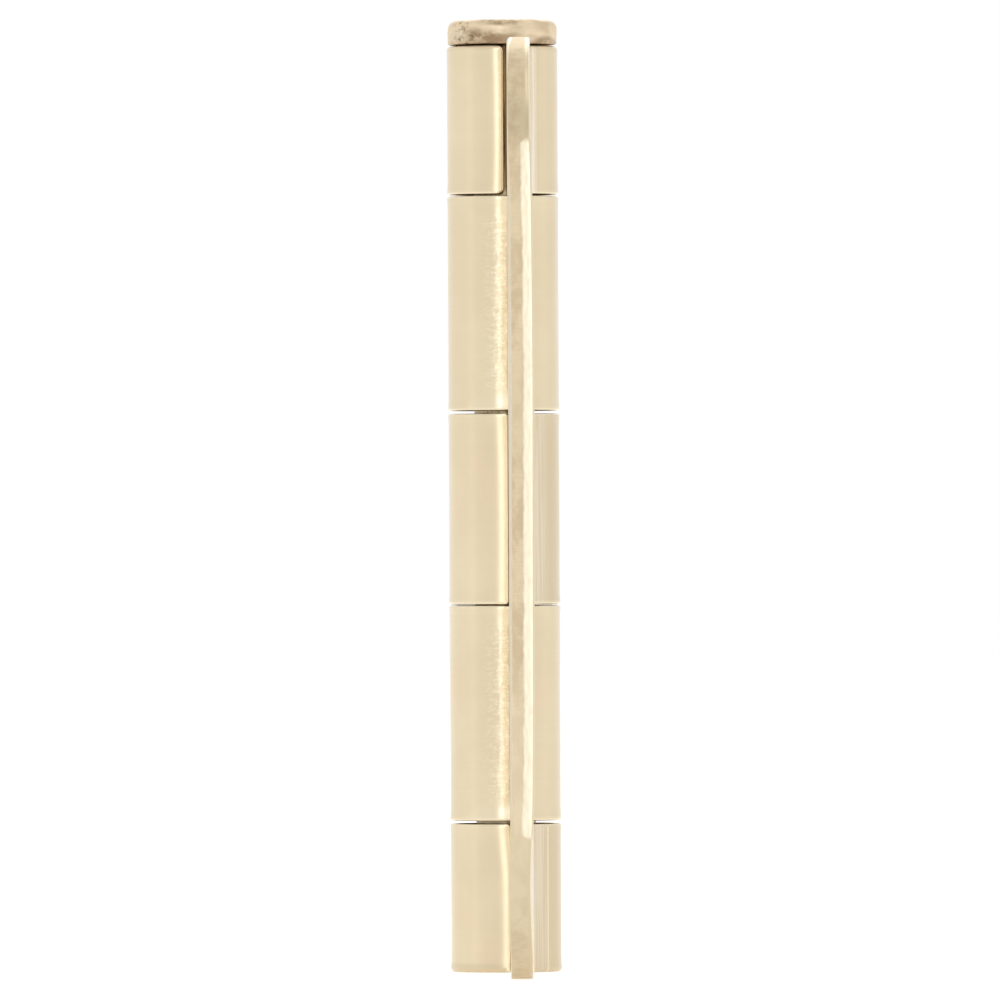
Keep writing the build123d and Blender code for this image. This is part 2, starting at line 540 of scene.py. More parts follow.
class PinTree(ShapeTree):
    """Turns the pin from its profile, rolls the gripping ridges under its head and dents the head."""

    kinds = {
        "Steps": "Int",
        "Ridges": "Int",
        "Ridge Height": "Float",
        "Ridge Foot": "Float",
        "Ridge Top": "Float",
        "Head Foot": "Float",
        "Dent Depth": "Float",
        "Dent Scale": "Float",
        "Seed": "Float",
        "Shaft": "Material",
        "Head": "Material",
    }

    def lay(self) -> Socket:
        """Lathe, then ridges, then dents, then the two finishes."""
        board, given = self.board, self.given
        body = self.lathe(given["Geometry"], given["Steps"])
        place = board.add("GeometryNodeInputPosition").outputs[0]
        x, y, z = board.apart(place).outputs
        wave = board.math("COSINE", board.times(board.math("ARCTAN2", y, x), given["Ridges"]))
        wave = board.fade(wave, -0.2, 1.0)
        foot, top = given["Ridge Foot"], given["Ridge Top"]
        run_in = board.times(board.minus(top, foot), 0.25)
        rise = board.fade(z, foot, board.plus(foot, run_in))
        drop = board.fade(z, board.minus(top, run_in), top, 1, 0)
        reach = board.times(board.times(wave, given["Ridge Height"]), board.times(rise, drop))
        flat = board.add("ShaderNodeCombineXYZ", {0: x, 1: y}).outputs[0]
        outward = board.add("ShaderNodeVectorMath", {0: flat}, operation="NORMALIZE").outputs[0]
        body = self.push(body, outward, reach)
        dents = {"Vector": place, "W": given["Seed"], "Scale": given["Dent Scale"], "Detail": 3.0}
        dent = board.add("ShaderNodeTexNoise", dents, noise_dimensions="4D").outputs[0]
        above = board.math("GREATER_THAN", z, given["Head Foot"])
        depth = board.times(board.minus(dent, 0.75), given["Dent Depth"])
        depth = board.math("MINIMUM", board.times(depth, above), 0)
        normal = board.add("GeometryNodeInputNormal").outputs[0]
        body = self.push(body, normal, depth)
        body = board.add("GeometryNodeSetShadeSmooth", {"Geometry": body}).outputs[0]
        body = board.add("GeometryNodeRealizeInstances", {"Geometry": body}).outputs[0]
        return self.coat(self.coat(body, given["Shaft"]), given["Head"], above)

    def push(self, body: Socket, direction: Socket, reach: Socket) -> Socket:
        """Moves every point along a direction by its own reach."""
        inputs = {0: direction, "Scale": reach}
        offset = self.board.add("ShaderNodeVectorMath", inputs, operation="SCALE").outputs[0]
        return self.board.add("GeometryNodeSetPosition", {"Geometry": body, "Offset": offset}).outputs[0]


# Lines and curves in millimetres


def unit(vector: np.ndarray) -> np.ndarray:
    """The same direction with a length of one."""
    return vector / np.linalg.norm(vector)


def polar(radius: float, angle: float) -> np.ndarray:
    """A point at an angle on a circle round the pin."""
    return radius * np.array((math.cos(angle), math.sin(angle)))


def arc(radius: float, start: float, end: float, centre: tuple[float, float] = (0, 0)) -> np.ndarray:
    """Points on an arc, at most a degree apart."""
    steps = max(2, math.ceil(abs(end - start) / math.radians(1)))
    return np.array([polar(radius, angle) for angle in np.linspace(start, end, steps + 1)]) + centre


def length_of(points: np.ndarray) -> float:
    """Length of a line through points."""
    return float(np.linalg.norm(np.diff(points, axis=0), axis=1).sum())


def rounded_outline(corners: list[tuple[float, float, float]], step: float) -> np.ndarray:
    """Closed outline with each corner rounded by its own radius.

    Args:
        corners: place and rounding radius of each corner, anticlockwise.
        step: the longest distance between two points of the result.

    Returns:
        The points of the outline.
    """
    bends = []
    for number, (x, y, radius) in enumerate(corners):
        here = np.array((x, y))
        if radius == 0:
            bends.append(here)
            continue
        before = unit(np.array(corners[number - 1][:2]) - here)
        after = unit(np.array(corners[(number + 1) % len(corners)][:2]) - here)
        half = math.acos(float(before @ after)) / 2
        centre = here + unit(before + after) * radius / math.sin(half)
        first = here + before * radius / math.tan(half) - centre
        last = here + after * radius / math.tan(half) - centre
        turn = math.pi - 2 * half
        steps = max(5, math.ceil(radius * turn / step))
        for share in np.linspace(0, 1, steps + 1):
            weights = math.sin((1 - share) * turn), math.sin(share * turn)
            bends.append(centre + (first * weights[0] + last * weights[1]) / math.sin(turn))
    points = []
    for here, after in zip(bends, bends[1:] + bends[:1]):
        if np.linalg.norm(after - here) < 1e-6:
            continue
        pieces = max(1, math.ceil(np.linalg.norm(after - here) / step - 0.001))
        points.extend(here + (after - here) * piece / pieces for piece in range(pieces))
    return np.array(points)


def inside(points: np.ndarray, outline: np.ndarray) -> np.ndarray:
    """Which of the points lie within a closed outline."""
    result = np.zeros(len(points), bool)
    ends = np.roll(outline, -1, axis=0)
    for start, end in zip(outline, ends):
        crosses = (start[1] > points[:, 1]) != (end[1] > points[:, 1])
        if crosses.any():
            x = start[0] + (points[:, 1] - start[1]) * (end[0] - start[0]) / (end[1] - start[1] + 1e-30)
            result ^= crosses & (points[:, 0] < x)
    return result


def curve_object(name: str, lines: list[np.ndarray]) -> bpy.types.Object:
    """A curve object of straight-run splines through points given in millimetres."""
    data = bpy.data.curves.new(name, "CURVE")
    data.dimensions = "3D"
    for line in lines:
        spline = data.splines.new("POLY")
        spline.points.add(len(line) - 1)
        for point, (x, y) in zip(spline.points, line):
            point.co = (x * MM, y * MM, 0, 1)
    return carried(name, data)


def lathe_profile(name: str, points: list[tuple[float, float]]) -> bpy.types.Object:
    """A profile for the lathe from radius and height in millimetres."""
    rows = np.array([(radius - LATHE_RADIUS / MM, -height) for radius, height in points])
    return curve_object(name, [rows])


def carried(name: str, data: bpy.types.ID) -> bpy.types.Object:
    """A new object at the origin, linked to the scene."""
    made = bpy.data.objects.new(name, data)
    bpy.context.scene.collection.objects.link(made)
    return made


def evaluated(made: bpy.types.Object) -> bpy.types.Mesh:
    """A plain mesh of the object as its modifiers make it."""
    graph = bpy.context.evaluated_depsgraph_get()
    shown = made.evaluated_get(graph)
    return bpy.data.meshes.new_from_object(shown, preserve_all_data_layers=True, depsgraph=graph)


def finished(name: str, mesh: bpy.types.Mesh) -> bpy.types.Object:
    """A finished piece: normals outwards, smooth, and flat where its large faces are flat."""
    shell = bmesh.new()
    shell.from_mesh(mesh)
    bmesh.ops.recalc_face_normals(shell, faces=shell.faces)
    shell.to_mesh(mesh)
    shell.free()
    mesh.name = name
    piece = carried(name, mesh)
    weighted = piece.modifiers.new("Weighted Normal", "WEIGHTED_NORMAL")
    weighted.weight = 80
    dressed = evaluated(piece)
    piece.modifiers.remove(weighted)
    piece.data = dressed
    bpy.data.meshes.remove(mesh)
    dressed.name = name
    return piece


# The hinge


class Zone(Enum):
    """Parts of a leaf's surface, each with its own finish."""

    SATIN = 0
    PUNCHED = 1
    BORE = 2
    SEAT = 3


class Side(Enum):
    """Which way a leaf reaches from the pin."""

    JAMB = 1
    DOOR = -1


@dataclass(frozen=True)
class Plate:
    """What both leaves share, in millimetres: the plate and the barrel that it is curled into."""

    thickness: float = 2.5
    front: float = 0.48
    bore: float = 3.35
    barrel: float = 6.05
    notch: float = 6.9
    notch_round: float = 0.5
    swage_round: float = 1.0
    edge_round: float = 0.22
    run_in: float = 2.2
    press_line: float = 0.09
    flare: float = 0.022
    flare_reach: float = 0.8
    height: float = 101.6
    reach: float = 50.8
    corner: float = 15.875

    @property
    def back(self) -> float:
        """Distance of the leaf's back from the pin's axis."""
        return self.front + self.thickness

    @property
    def wall(self) -> float:
        """Radius of the middle of the barrel's wall."""
        return (self.bore + self.barrel) / 2


PLATE = Plate()


@dataclass(frozen=True)
class Knuckle:
    """One finger of a leaf, curled round the pin, in millimetres."""

    low: float
    high: float
    seam: float
    swage: float
    tip_round: float = 0.3
    tip_edge: float = 0.1
    end_edges: tuple[float, float] = (0.22, 0.22)
    crown: tuple[float, float] = (0.0, 0.0)
    tuck: float = 0.0
    spring: float = 0.0
    spring_reach: float = 1.0
    lines: tuple[tuple[float, float], ...] = ((0.06, 0.6),)
    streaks: float = 0.5
    dulled: float = 0.0
    dull_foot: float = 0.0
    flat: float = 0.0
    column: float = 0.25

    @property
    def swage_turn(self) -> float:
        """Angle on the barrel at which the swage leaves it."""
        return math.asin(self.swage / PLATE.barrel)

    def tip_turn(self, radius: float) -> float:
        """Angle at which a circle of the wall reaches the tip of the curl."""
        return 2 * math.pi + math.asin((PLATE.front - self.seam) / radius)

    def inner_parts(self) -> list[np.ndarray]:
        """The bore side of the finger: along the face, to the swage's top, and on to the tip."""
        start = math.asin(PLATE.front / PLATE.bore)
        run_in = np.array([(PLATE.notch, PLATE.front), polar(PLATE.bore, start)])
        tip = self.tip_turn(PLATE.bore)
        return [run_in, arc(PLATE.bore, start, self.swage_turn), arc(PLATE.bore, self.swage_turn, tip)]

    def outer_parts(self) -> list[np.ndarray]:
        """The outside of the finger: along the back, up the swage, and round to the tip."""
        top = polar(PLATE.barrel, self.swage_turn)
        slope = math.pi / 2 - self.swage_turn
        foot = (PLATE.barrel**2 - PLATE.back * self.swage) / top[0]
        run = PLATE.swage_round * math.tan(slope / 2)
        centre = (foot + run, PLATE.back + PLATE.swage_round)
        fillet = arc(PLATE.swage_round, -math.pi / 2, -math.pi / 2 - slope, centre)
        run_in = np.array([(PLATE.notch, PLATE.back), fillet[0]])
        tip = self.tip_turn(PLATE.barrel)
        return [run_in, np.vstack([fillet, top]), arc(PLATE.barrel, self.swage_turn, tip)]

    def marks(self) -> np.ndarray:
        """How far along the finger each of those parts ends, counted from the notch."""
        inner, outer = self.inner_parts()[1], self.outer_parts()[1]
        last = PLATE.wall * (self.tip_turn(PLATE.wall) - self.swage_turn)
        return np.cumsum([0, PLATE.run_in, (length_of(inner) + length_of(outer)) / 2, last])

    def way(self, parts: list[np.ndarray], along: np.ndarray) -> np.ndarray:
        """Share of a path's whole length that belongs to each distance along the finger."""
        lengths = np.cumsum([0] + [length_of(part) for part in parts])
        return np.interp(along, self.marks(), lengths) / lengths[-1]

    def columns(self) -> np.ndarray:
        """Distances along the finger at which its surface has a row of points."""
        marks = self.marks()
        side = np.interp(math.pi, (self.swage_turn, self.tip_turn(PLATE.barrel)), marks[2:])
        at_swage, beside = (marks[2] - 0.6, marks[2] + 0.4), (side - 0.9, side + 0.5)
        ends = [-PLATE.notch_round, marks[1], *at_swage, *beside, marks[3] - self.tip_round]
        steps = (self.column, self.column, 0.08, self.column, 0.1, self.column)
        runs = []
        for start, end, step in zip(ends, ends[1:], steps):
            runs.append(np.linspace(start, end, math.ceil((end - start) / step) + 1)[:-1])
        return np.concatenate([*runs, ends[-1:]])

    def rows(self) -> np.ndarray:
        """Heights at which the finger's surface has a row of points."""
        near = np.array((0.28, 0.63, 1.08))
        start, end = self.low + self.end_edges[0], self.high - self.end_edges[1]
        middle = np.linspace(start + 1.7, end - 1.7, math.ceil((self.high - self.low) / 0.8))
        return np.concatenate([start + near, middle, end - near[::-1]])

    def swell(self, along: np.ndarray, height: np.ndarray) -> np.ndarray:
        """How much thicker the wall gets by its flared ends, press lines, flat side and sprung tip."""
        end = np.minimum(height - self.low, self.high - height)
        settled = np.clip((along - 3.0) / 2.5, 0, 1)
        flare = PLATE.flare * np.exp(-((end / PLATE.flare_reach) ** 2)) * settled
        half = (self.high - self.low) / 2
        corner = np.abs(height - self.low - half) / half
        from_tip = along - self.marks()[-1]
        nearing = np.clip((from_tip + 2.6) / 2.6, 0, 1)
        sprung = np.clip((from_tip + self.spring_reach) / self.spring_reach, 0, 1) ** 2
        sprung *= np.clip((self.high - height) / 6, 0, 1)
        groove = np.exp(-(((along - self.marks()[2] - 0.14) / PLATE.press_line) ** 2))
        groove = 0.010 * self.lines[0][1] * groove
        tip = self.spring * sprung - self.tuck * (corner * nearing) ** 2 + self.flattened(along)
        return flare + 0.008 * self.ridge(along) - groove + tip / PLATE.thickness

    def turn(self, along: np.ndarray) -> np.ndarray:
        """Angle round the pin of each distance along the finger, from the swage's top on."""
        return np.interp(along, self.marks()[2:], (self.swage_turn, self.tip_turn(PLATE.barrel)))

    def flattened(self, along: np.ndarray) -> np.ndarray:
        """How far the side next to the other leaf stands out of round where it was pressed flat."""
        across = np.degrees(self.turn(along) - math.pi)
        rise = PLATE.barrel * (1 / np.cos(np.radians(np.clip(0.3 - across, 0, 6))) - 1)
        return self.flat * rise * np.clip((across + 14) / 8, 0, 1)

    def ridge(self, along: np.ndarray) -> np.ndarray:
        """The lines that the press left on the swage and at its top, each 1 at its crest."""
        beyond, width = along - self.marks()[2], PLATE.press_line
        return sum(strength * np.exp(-(((beyond + place) / width) ** 2)) for place, strength in self.lines)

    def root(self, along: np.ndarray, height: np.ndarray) -> np.ndarray:
        """How dull the surface is: most on the swage, less round the barrel, and again at the foot."""
        beyond = along - self.marks()[2]
        root = self.dulled * np.clip(1 - beyond / 8.0, 0, 1) ** 0.7 * (along > 0)
        foot = self.dull_foot * np.clip((self.low + 1.1 - height) / 0.3, 0, 1) * (along > 0)
        return np.maximum(root, foot)

    def pressed(self, along: np.ndarray) -> np.ndarray:
        """How strongly the press's streaks show on the swage; there are none round the barrel."""
        return self.streaks * np.clip((self.marks()[2] - along) / 0.5, 0, 1) * (along > 0)

    def crowned(self, along: np.ndarray, height: np.ndarray, depth: np.ndarray) -> np.ndarray:
        """How far the end faces of the wall stand out past their rounded outer edges."""
        high = self.crown[1] * np.exp(-((self.high - height) ** 2))
        low = self.crown[0] * np.exp(-((height - self.low) ** 2))
        inner = np.clip((1 - depth / PLATE.thickness) / 0.35, 0, 1)
        return (high - low) * np.sqrt(inner * (2 - inner)) * np.clip((along - 1.0) / 2.0, 0, 1)

    def painted_glint_at(self, turn: np.ndarray, height: np.ndarray) -> np.ndarray:
        """A painted highlight low on the knuckle, beside the other leaf, and a fainter hump of painted
        highlight further round.
        """
        side = (turn - math.pi) * PLATE.barrel
        rise = height - self.low
        hump = np.sqrt(np.clip(1 - ((side - 1.9) / 2.7) ** 2 - (rise / 1.8) ** 2, 0, 1))
        patch = np.exp(-(((side - 0.2) / 0.75) ** 2) - ((rise - 1.0) / 0.9) ** 2)
        return np.maximum(0.3 * hump, 0.9 * patch)

    def rubbed(self, turn: np.ndarray, height: np.ndarray) -> np.ndarray:
        """Where the other leaf's edge rubbed the knuckle, except close to its ends; the rub's specks are
        also painted highlight.
        """
        end = np.minimum(height - self.low, self.high - height)
        across = np.exp(-(((turn - math.radians(184)) / math.radians(14)) ** 2))
        return across * np.clip((end - 1.4) / 1.2, 0, 1)


@dataclass(frozen=True)
class ScrewHoles:
    """Countersunk holes of one leaf, in millimetres."""

    radius: float = 2.7
    sink: float = 4.6
    slope: float = math.radians(41)
    near_x: float = 20.6
    near_spacing: float = 76.2
    far_x: float = 38.1
    far_spacing: float = 25.4
    lip: float = 0.08
    steps: int = 96

    def centres(self) -> list[tuple[float, float]]:
        """Place of each hole on the leaf."""
        pairs = ((self.near_x, self.near_spacing), (self.far_x, self.far_spacing))
        return [(x, (PLATE.height + side * spacing) / 2) for x, spacing in pairs for side in (-1, 1)]

    def ring(self, centre: tuple[float, float], radius: float) -> np.ndarray:
        """Points of a hole's edge."""
        turns = np.arange(self.steps) * 2 * math.pi / self.steps
        return np.array(centre) + radius * np.column_stack([np.cos(turns), np.sin(turns)])

    def profile(self) -> list[tuple[float, float]]:
        """Radius and depth down the wall of a hole, with broken edges at both ends."""
        depth = (self.sink - self.radius) / math.tan(self.slope)
        rows = [(self.sink + self.lip, 0.0), (self.sink + 0.03, 0.015), (self.sink - 0.03, 0.05)]
        for share in np.linspace(0.06, 1, 9):
            rows.append((self.sink - depth * share * math.tan(self.slope), depth * share))
        end = PLATE.thickness
        rows += [(self.radius, end - 0.12), (self.radius + 0.03, end - 0.03), (self.radius + self.lip, end)]
        return rows


@dataclass
class Blank:
    """The flat blank of a leaf: its outline, its rim and its two faces, in millimetres.

    The outer edge bows from bow_start on, and its front is dull from dull_start on, each over its run.
    The torn band wavers by waves of the given size, pitch and place in the noise.
    """

    knuckles: tuple[Knuckle, ...]
    holes: ScrewHoles
    seed: float
    bow: tuple[tuple[float, float], ...]
    step: float = 0.3
    plate_step: float = 2.2
    rim_rows: int = 9
    bow_start: float = 43.2
    bow_run: float = 7.2
    dull_start: float = 44.0
    dull_run: float = 6.0
    waves: tuple[Place, ...] = ((0.04, 1.6, 0), (0.03, 0.6, 5), (0.05, 6, 9))
    points: list[np.ndarray] = field(default_factory=list)
    faces: list[tuple[int, ...]] = field(default_factory=list)
    zones: list[int] = field(default_factory=list)

    def corners(self) -> list[tuple[float, float, float]]:
        """Corners of the blank, anticlockwise from the outer edge's foot."""
        top, notch, bend = PLATE.height, PLATE.notch, PLATE.notch_round
        found = [(PLATE.reach, 0, PLATE.corner), (PLATE.reach, top, PLATE.corner)]
        last_low = top
        for knuckle in self.knuckles[::-1]:
            if knuckle.high < top:
                found += [(notch, last_low, bend), (notch, knuckle.high, bend)]
            sides = [notch - along for along in knuckle.columns()]
            tip = notch - knuckle.marks()[-1]
            found += [(x, knuckle.high, 0) for x in sides[:-1]]
            found += [(tip, knuckle.high, knuckle.tip_round), (tip, knuckle.low, knuckle.tip_round)]
            found += [(x, knuckle.low, 0) for x in sides[-2::-1]]
            last_low = knuckle.low
        if last_low > 0:
            found += [(notch, last_low, bend), (notch, 0, bend)]
        return found

    def cloud(self, *place: float) -> float:
        """Smooth noise between about -1 and 1, fixed by the seed."""
        spot = Vector((*place, 0, 0)[:3]) + Vector((self.seed, 0, 0))
        return noise.noise(spot)

    def rim(self, outline: np.ndarray) -> tuple[np.ndarray, np.ndarray]:
        """Builds the rounded edges, with their painted highlight, and the cut wall between them.

        Args:
            outline: the blank's outline.

        Returns:
            The outline inside the rounding of the front edge, and that of the back edge.
        """
        ahead = unit_rows(np.roll(outline, -1, axis=0) - outline)
        tangent = unit_rows(ahead + np.roll(ahead, 1, axis=0))
        inward = np.column_stack([-tangent[:, 1], tangent[:, 0]])
        run = np.concatenate([[0], np.cumsum(np.linalg.norm(np.diff(outline, axis=0), axis=1))])
        count = len(outline)
        front, back = self.front_rounding(outline), self.back_rounding(outline)
        trim = np.array([self.trimmed(point) for point in outline])
        torn_from = np.array([self.torn_from(*pair) for pair in zip(trim, run)])
        torn_from = np.minimum(torn_from, PLATE.thickness - back - 0.2)
        finger = outline[:, 0] < PLATE.notch
        # painted highlight along each rounded edge, strongest half way round it: full on the fingers, faint
        # on the plate's front, brighter on the back at the leaf's corners
        front_highlight = np.where(finger, 1.0, 0.15)
        crispness = (PLATE.edge_round / np.maximum(back, PLATE.edge_round)) ** 3
        back_highlight = np.where(finger, crispness, 0.25 + 0.75 * trim)
        rounding = []
        for turn in np.linspace(0, math.pi / 2, 6):
            painted_highlight = math.sin(2 * turn) ** 2 * 0.8 + 0.2
            rounding.append((1 - math.sin(turn), 1 - math.cos(turn), painted_highlight))
        base = []
        for inset, depth, painted_highlight in rounding:
            base.append((front * inset, front * depth, front_highlight * painted_highlight, 0.0))
        wall = np.linspace(0, 1, self.rim_rows + 1)[1:]
        for share in wall[:-1]:
            depth = front + share * (torn_from - front)
            base.append((self.wear(run, depth, False), depth, np.zeros(count), 0.0))
        for share in wall[:-1]:
            start = torn_from + 0.05
            depth = start + (share - wall[0]) / (1 - wall[0]) * (PLATE.thickness - back - start)
            base.append((self.wear(run, depth, True), depth, np.zeros(count), 1.0))
        for inset, depth, painted_highlight in rounding[::-1]:
            base.append((back * inset, PLATE.thickness - back * depth, back_highlight * painted_highlight, 1.0))
        for inset, depth, edge, shear in base:
            spots = outline + inward * inset[:, None]
            extra = np.column_stack([edge, np.full(count, shear), run, depth, trim])
            self.points.append(np.column_stack([spots, depth, extra]))
        self.join_rim(count, len(base), len(rounding))
        return outline + inward * front[:, None], outline + inward * back[:, None]

    def join_rim(self, count: int, rows: int, rounded: int) -> None:
        """Joins the rim's rows of points with faces.

        Args:
            count: how many points each row has.
            rows: how many rows the rim has.
            rounded: how many of them make each rounded edge.
        """
        for row in range(rows - 1):
            zone = Zone.PUNCHED if rounded - 1 <= row < rows - rounded else Zone.SATIN
            low, high = row * count, (row + 1) * count
            for here in range(count):
                there = (here + 1) % count
                self.faces.append((low + here, low + there, high + there, high + here))
                self.zones.append(zone.value)

    def front_rounding(self, outline: np.ndarray) -> np.ndarray:
        """Rounding radius of the front edge: crisp down the leaf, and drawn in by the punch at its top."""
        heights = (76, 82.5, 88, 97, 99, 100.4, 101.3)
        radii = (0.08, 0.18, 0.08, 0.08, 0.2, 0.22, 0.53)
        leaf_edge = np.interp(outline[:, 1], heights, radii)
        on_leaf = np.clip((outline[:, 0] - 9) / 2, 0, 1)
        return PLATE.edge_round + (leaf_edge - PLATE.edge_round) * on_leaf

    def back_rounding(self, outline: np.ndarray) -> np.ndarray:
        """Rounding radius of the back edge: a knuckle's own at its ends and tip, the plate's elsewhere."""
        result = np.full(len(outline), PLATE.edge_round)
        along = PLATE.notch - outline[:, 0]
        for knuckle in self.knuckles:
            mine = (along > 0) & (outline[:, 1] > knuckle.low - 0.1) & (outline[:, 1] < knuckle.high + 0.1)
            upper = outline[:, 1] > (knuckle.low + knuckle.high) / 2
            ends = np.where(upper, knuckle.end_edges[1], knuckle.end_edges[0])
            ends = PLATE.edge_round + (ends - PLATE.edge_round) * np.clip(along / 1.5, 0, 1)
            at_tip = np.clip((along - knuckle.marks()[-1] + 0.45) / 0.3, 0, 1)
            result = np.where(mine, ends + (knuckle.tip_edge - ends) * at_tip, result)
        return result

    def trimmed(self, point: np.ndarray) -> float:
        """1 where the cut edge was trimmed to its radius at the leaf's corners, 0 along the straight; it
        also places the corners' painted shade and brighter painted edge highlight.
        """
        if point[0] < PLATE.notch + 1:
            return 0.6
        rise = abs(point[1] - PLATE.height / 2) - (PLATE.height / 2 - PLATE.corner)
        start = 4.2 if point[1] > PLATE.height / 2 else 0.2
        return min(1.0, max(0.0, (rise - start) / 0.5))

    def torn_from(self, trim: float, run: float) -> float:
        """Depth from the front at which the sheared band of the cut edge gives way to the torn one."""
        level = 0.55 + 0.32 * trim
        wobble = sum(size * self.cloud(run / pitch, place) for size, pitch, place in self.waves)
        return PLATE.thickness * min(0.87, max(0.25, level + wobble * (1 - trim * 0.6)))

    def wear(self, run: np.ndarray, depth: np.ndarray, torn: bool) -> np.ndarray:
        """How far the cut wall lies inside the outline: little where sheared, more where torn."""
        result = []
        for place, level in zip(run, depth):
            if torn:
                lean = (level - PLATE.thickness / 2) / PLATE.thickness
                amount = 0.025 + 0.05 * lean + 0.016 * self.cloud(place / 0.35, level / 0.5, 3)
            else:
                amount = 0.008 + 0.006 * self.cloud(place / 0.3, level / 6, 7)
            result.append(max(0.0, amount))
        return np.array(result)

    def face(self, outline: np.ndarray, radius: float, depth: float, start: int) -> None:
        """Fills one face of the blank, leaving out its screw holes.

        Args:
            outline: the edge of the face.
            radius: the radius that the holes have in this face.
            depth: the face's distance from the front.
            start: number of the outline's first point among all points.
        """
        rings = [self.holes.ring(centre, radius) for centre in self.holes.centres()]
        loose = np.vstack([self.finger_points(), self.plate_points(radius)])
        places = np.vstack([outline, *rings, loose])
        edges = []
        first = 0
        for loop in (outline, *rings):
            count = len(loop)
            edges += [(first + number, first + (number + 1) % count) for number in range(count)]
            first += count
        found = delaunay_2d_cdt([Vector(place) for place in places], edges, [], 0, 1e-7)
        corners = np.array([tuple(vertex) for vertex in found[0]])
        triangles = np.array([triangle for triangle in found[2] if len(triangle) == 3])
        middles = corners[triangles].mean(axis=1)
        ends = corners[triangles]
        doubled_area = np.cross(ends[:, 1] - ends[:, 0], ends[:, 2] - ends[:, 0])
        kept = inside(middles, outline) & (np.abs(doubled_area) > 1e-5)
        for centre in self.holes.centres():
            kept &= np.linalg.norm(middles - centre, axis=1) > radius * 0.999
        fresh = places[len(outline):]
        offset = sum(len(rows) for rows in self.points) - len(outline)
        extra = np.zeros((len(fresh), 5))
        self.points.append(np.column_stack([fresh, np.full(len(fresh), depth), extra]))
        origin = [sources[0] for sources in found[3]]
        for triangle in triangles[kept]:
            numbers = [origin[corner] for corner in triangle]
            shifted = (number + (start if number < len(outline) else offset) for number in numbers)
            self.faces.append(tuple(shifted))
            middle = places[numbers].mean(axis=0)
            curled = depth == 0 and middle[0] < PLATE.notch - PLATE.run_in
            self.zones.append((Zone.BORE if curled else Zone.SATIN).value)

    def finger_points(self) -> np.ndarray:
        """Points on the fingers, in the columns that their edges have."""
        grids = []
        for knuckle in self.knuckles:
            columns, rows = np.meshgrid(PLATE.notch - knuckle.columns(), knuckle.rows())
            grids.append(np.column_stack([columns.ravel(), rows.ravel()]))
        return np.vstack(grids)

    def plate_points(self, radius: float) -> np.ndarray:
        """Points spread over the flat of the leaf, clear of its edge and its holes."""
        outwards = np.arange(9.2, PLATE.reach - 1, self.plate_step)
        upwards = np.arange(1.6, PLATE.height - 1, self.plate_step)
        columns, rows = np.meshgrid(outwards, upwards)
        spots = np.column_stack([columns.ravel(), rows.ravel()])
        from_corner = np.column_stack([
            spots[:, 0] - (PLATE.reach - PLATE.corner),
            np.abs(spots[:, 1] - PLATE.height / 2) - (PLATE.height / 2 - PLATE.corner),
        ])
        beyond = np.linalg.norm(from_corner, axis=1) > PLATE.corner - 1
        clear = ~((from_corner > 0).all(axis=1) & beyond)
        for centre in self.holes.centres():
            clear &= np.linalg.norm(spots - centre, axis=1) > radius + 0.7
        return spots[clear]

    def build(self, name: str) -> bpy.types.Object:
        """Builds the flat blank as a mesh object that carries the numbers the curl needs."""
        outline = rounded_outline(self.corners(), self.step)
        front, back = self.rim(outline)
        last = sum(len(rows) for rows in self.points) - len(outline)
        self.face(front, self.holes.sink + self.holes.lip, 0.0, 0)
        self.face(back, self.holes.radius + self.holes.lip, PLATE.thickness, last)
        table = np.vstack(self.points)
        along = PLATE.notch - table[:, 0]
        curl = np.zeros(len(table), int)
        inner_way, outer_way, swell, rise, ridge = (np.zeros(len(table)) for _ in range(5))
        rub, painted_glint, root, pressed = (np.zeros(len(table)) for _ in range(4))
        for number, knuckle in enumerate(self.knuckles, 1):
            mine = (along > 1e-6) & (table[:, 1] > knuckle.low - 0.1) & (table[:, 1] < knuckle.high + 0.1)
            curl[mine] = number
            inner_way[mine] = knuckle.way(knuckle.inner_parts(), along[mine])
            outer_way[mine] = knuckle.way(knuckle.outer_parts(), along[mine])
            ways, heights, depths = along[mine], table[mine, 1], table[mine, 2]
            waves = [self.cloud(way / 4, height / 9, 20) for way, height in zip(ways, heights)]
            swell[mine] = knuckle.swell(ways, heights) + 0.006 * np.array(waves)
            turn = knuckle.turn(ways)
            rub[mine] = knuckle.rubbed(turn, heights)
            painted_glint[mine] = knuckle.painted_glint_at(turn, heights)
            root[mine] = knuckle.root(ways, heights)
            pressed[mine] = knuckle.pressed(ways)
            rise[mine] = knuckle.crowned(ways, heights, depths)
            # the press lines' crests on the outside, which take a painted highlight
            ridge[mine] = knuckle.ridge(ways) * (depths > PLATE.thickness / 2)
        dull = 0.7 * np.clip((table[:, 0] - self.dull_start) / self.dull_run, 0, 1)
        root = np.maximum(root, dull * (table[:, 2] < 0.3))
        depth = table[:, 2] / PLATE.thickness * (1 + swell)
        mesh = bpy.data.meshes.new(name)
        bent = np.clip((table[:, 0] - self.bow_start) / self.bow_run, 0, 1)
        bow = np.interp(table[:, 1], *zip(*self.bow)) * bent
        places = np.column_stack([table[:, 0], PLATE.front + table[:, 2] + bow, table[:, 1] + rise]) * MM
        mesh.from_pydata(places.tolist(), [], self.faces)
